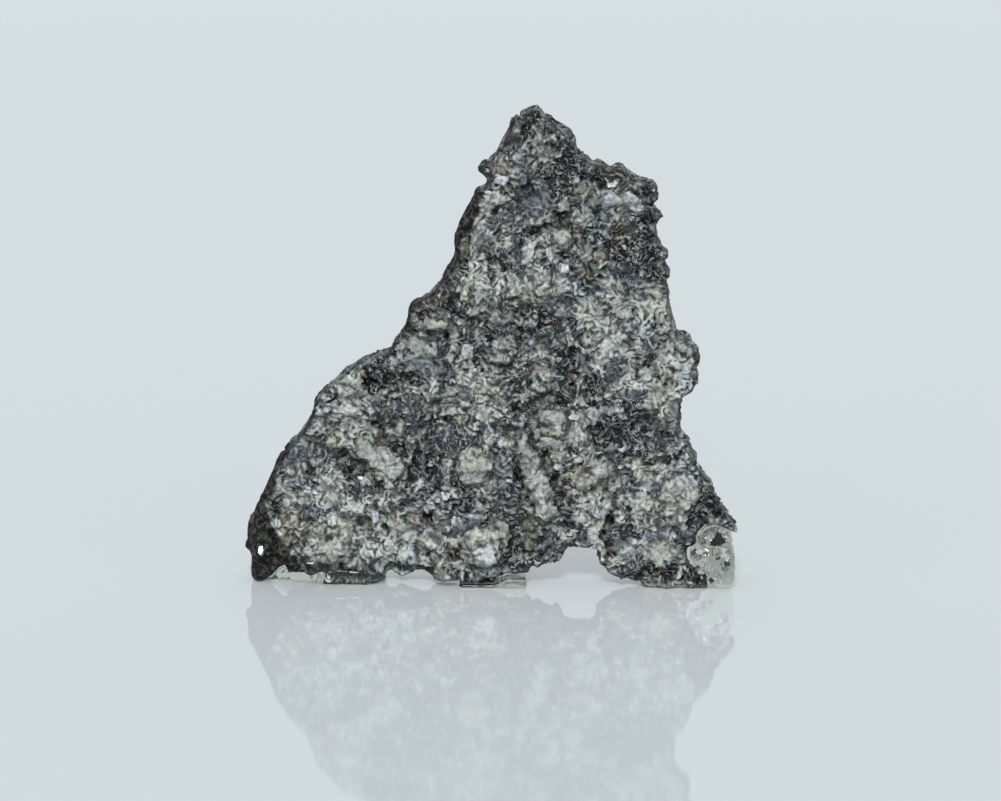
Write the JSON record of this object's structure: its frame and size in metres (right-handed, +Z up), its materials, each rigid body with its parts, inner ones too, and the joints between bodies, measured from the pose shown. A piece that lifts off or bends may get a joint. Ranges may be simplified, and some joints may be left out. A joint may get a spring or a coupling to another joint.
{
  "type": "meteorite slice on clear gel pads",
  "caption": "Thin broken shergottite slice with a dark fusion-crusted edge, standing on small pads of clear mounting gel.",
  "frame": {"origin": "middle of the whole object's box, on the surface it stands on", "axes": "+X to the right along the slice, +Y away from the viewer through its thickness, +Z up"},
  "size_m": [0.0532, 0.009, 0.0519],
  "materials": {
    "stone": "rough broken stone with glassy crystals and a glossy black crust on one wall",
    "gel": "clear soft gel with a smooth skin"
  },
  "bodies": {
    "root": {"shergottite_slice": "stone", "gel_pad_left": "gel", "gel_pad_middle": "gel", "gel_pad_right": "gel"}
  },
  "joints": []
}
